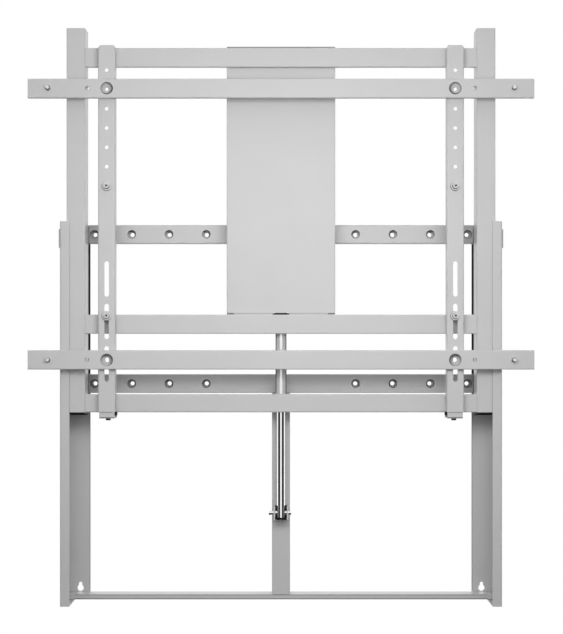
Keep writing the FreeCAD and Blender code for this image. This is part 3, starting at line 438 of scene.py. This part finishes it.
def floor_material():
    """Plain pale floor: almost white to the camera, and it takes the object's shadow."""
    material, tree = empty_material("pale_floor")
    path = add(tree, "ShaderNodeLightPath")
    glow = add(tree, "ShaderNodeEmission")
    glow.inputs["Strength"].default_value = FLOOR_GLOW
    shade = add(tree, "ShaderNodeBsdfDiffuse")
    shade.inputs["Color"].default_value = colour(FLOOR_GREY)
    seen = add(tree, "ShaderNodeAddShader")
    tree.links.new(glow.outputs[0], seen.inputs[0])
    tree.links.new(shade.outputs[0], seen.inputs[1])
    mirrored = add(tree, "ShaderNodeEmission")
    flag = either(tree, path.outputs["Is Glossy Ray"], path.outputs["Is Transmission Ray"])
    both = switch(tree, flag, seen.outputs[0], mirrored.outputs[0])
    out = add(tree, "ShaderNodeOutputMaterial")
    tree.links.new(both, out.inputs["Surface"])
    return material


def card_material():
    """Dark card that only reflections see."""
    material, tree = empty_material("dark_card")
    glow = add(tree, "ShaderNodeEmission")
    glow.inputs["Color"].default_value = colour(CARD_GREY)
    out = add(tree, "ShaderNodeOutputMaterial")
    tree.links.new(glow.outputs[0], out.inputs["Surface"])
    return material


def stage_sheet(name, corners, material):
    mesh = bpy.data.meshes.new(name)
    mesh.from_pydata(corners, [], [tuple(range(len(corners)))])
    mesh.materials.append(material)
    thing = bpy.data.objects.new(name, mesh)
    bpy.context.scene.collection.objects.link(thing)
    return thing


def level_sheet(name, half, front, z, material):
    """A level sheet, from front to the back of the floor."""
    corners = [(-half, front, z), (half, front, z), (half, FLOOR_BACK, z), (-half, FLOOR_BACK, z)]
    return stage_sheet(name, corners, material)


floor = level_sheet("floor", FLOOR_HALF, FLOOR_FRONT, FLOOR_Z, floor_material())
floor.visible_diffuse = False
floor.visible_shadow = False

# Cards stand on an arc on each side, between angles from the viewer's direction
dark_card = card_material()
cards = []
for name, side, last in (("left", -1, 97), ("right", 1, 88)):
    for number, angles in enumerate(((22, 55), (55, last))):
        near, far = (
            (
                side * CARD_RADIUS * math.sin(math.radians(angle)),
                -CARD_RADIUS * math.cos(math.radians(angle)),
            )
            for angle in angles
        )
        corners = [
            (*near, FLOOR_Z), (*far, FLOOR_Z), (*far, CARD_HEAD), (*near, CARD_HEAD)
        ]
        cards.append(stage_sheet(f"card_{name}_{number}", corners, dark_card))
cards.append(
    level_sheet("card_floor", FLOOR_CARD_HALF, -FLOOR_CARD_HALF, FLOOR_Z + 0.02, dark_card)
)
for card in cards:
    card.visible_camera = False
    card.visible_diffuse = False
    card.visible_transmission = False
    card.visible_shadow = False

# Softboxes: place, target and size in metres, and power in watts
LIGHTS = (
    ("front_softbox", (0.08, -1.2, 0.2), (0.03, 0.0, 0.2), (0.5, 0.5), 1.7),
    ("upper_softbox", (0.04, -1.6, 0.45), (0.03, 0.0, 0.45), (1.2, 0.5), 10.2),
    ("wide_softbox", (0.16, -2.4, 0.2), (0.06, 0.0, 0.2), (3.4, 1.0), 15.4),
    ("back_softbox", (0.0, 2.4, 0.5), (0.0, 0.0, 0.1), (2.4, 1.2), 9.0),
    ("left_softbox", (-2.6, 0.5, 0.5), (0.0, 0.0, 0.1), (1.0, 1.2), 4.0),
    ("right_softbox", (2.6, 0.5, 0.5), (0.0, 0.0, 0.1), (1.0, 1.2), 4.0),
)
for name, place, target, size, power in LIGHTS:
    data = bpy.data.lights.new(name, "AREA")
    data.shape = "RECTANGLE"
    data.size, data.size_y = size
    data.energy = power
    light = bpy.data.objects.new(name, data)
    bpy.context.scene.collection.objects.link(light)
    light.location = place
    aim = Vector(target) - Vector(place)
    light.rotation_euler = aim.to_track_quat("-Z", "Y").to_euler()
    light.visible_camera = False
    light.visible_glossy = False

# World: soft light from all round, brighter from above. Direct reflections see a bright
# backdrop behind the object, and the camera sees plain white.
world = bpy.data.worlds.new("studio")
bpy.context.scene.world = world
world.use_nodes = True
tree = world.node_tree
tree.nodes.clear()
path = add(tree, "ShaderNodeLightPath")
direction = add(tree, "ShaderNodeSeparateXYZ")
tree.links.new(add(tree, "ShaderNodeTexCoord").outputs["Generated"], direction.inputs[0])


def background(strength=None):
    node = add(tree, "ShaderNodeBackground")
    node.inputs["Color"].default_value = (1.0, 1.0, 1.0, 1.0)
    if strength is not None:
        tree.links.new(strength, node.inputs["Strength"])
    return node.outputs[0]


lit = background(ramp(tree, direction.outputs["Z"], SKY_BELOW, SKY_ABOVE, -0.05, 0.05))
mirrored = background(ramp(tree, direction.outputs["Y"], 1.0, MIRRORED_BACKDROP, 0.0, 0.6))
before_diffuse = add(tree, "ShaderNodeMath", operation="LESS_THAN")
before_diffuse.inputs[1].default_value = 0.5
tree.links.new(path.outputs["Diffuse Depth"], before_diffuse.inputs[0])
in_gloss = add(tree, "ShaderNodeMath", operation="MULTIPLY")
tree.links.new(path.outputs["Is Glossy Ray"], in_gloss.inputs[0])
tree.links.new(before_diffuse.outputs[0], in_gloss.inputs[1])
round_object = switch(tree, in_gloss.outputs[0], lit, mirrored)
seen = either(tree, path.outputs["Is Camera Ray"], path.outputs["Is Transmission Ray"])
out = add(tree, "ShaderNodeOutputWorld")
tree.links.new(switch(tree, seen, round_object, background()), out.inputs["Surface"])

bpy.context.scene.view_settings.view_transform = "Standard"
